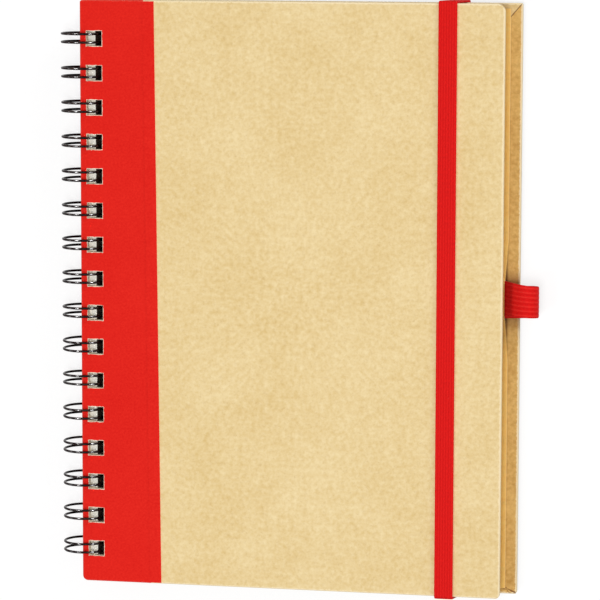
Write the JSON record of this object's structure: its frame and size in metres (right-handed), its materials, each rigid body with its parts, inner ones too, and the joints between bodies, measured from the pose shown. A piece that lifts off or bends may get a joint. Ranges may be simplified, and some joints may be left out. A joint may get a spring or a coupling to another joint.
{
  "type": "spiral notebook",
  "caption": "Hard-cover notebook bound by a twin-loop wire comb, with punched pages, a coloured spine strip, an elastic closing band and an elastic pen loop.",
  "frame": {"origin": "middle of the part's outline, on the surface that it lies on", "axes": "+X from the wire binding to the fore-edge, +Y from tail to head of the page, +Z out of the front cover"},
  "size_m": [0.1789, 0.219, 0.0168],
  "materials": {
    "grey_board": "matt",
    "kraft_paper": "matt, flecked",
    "red_paper": "matt, fine grain",
    "leaves": "matt",
    "black_wire": "gloss black coating",
    "red_elastic": "woven elastic"
  },
  "bodies": {
    "back_cover": {"back_board": "grey_board", "back_wrap_paper": "kraft_paper", "back_spine_strip": "red_paper", "back_endpaper": "kraft_paper", "wire_binding": "black_wire", "elastic_band": "red_elastic", "pen_loop": "red_elastic"},
    "pages": {"page_block": "leaves"},
    "front_cover": {"front_board": "grey_board", "front_wrap_paper": "kraft_paper", "front_spine_strip": "red_paper", "front_endpaper": "kraft_paper"}
  },
  "joints": [
    {"name": "pages_turn", "type": "hinge", "parent": "back_cover", "child": "pages", "pos_m": [-0.08105, 0, 0.0084], "axis": [0, -1, 0], "range_deg": [0, 180], "deforming": ["elastic_band"]},
    {"name": "front_cover_open", "type": "hinge", "parent": "pages", "child": "front_cover", "pos_m": [-0.08105, 0, 0.0084], "axis": [0, -1, 0], "range_deg": [0, 180], "deforming": ["elastic_band"]}
  ]
}
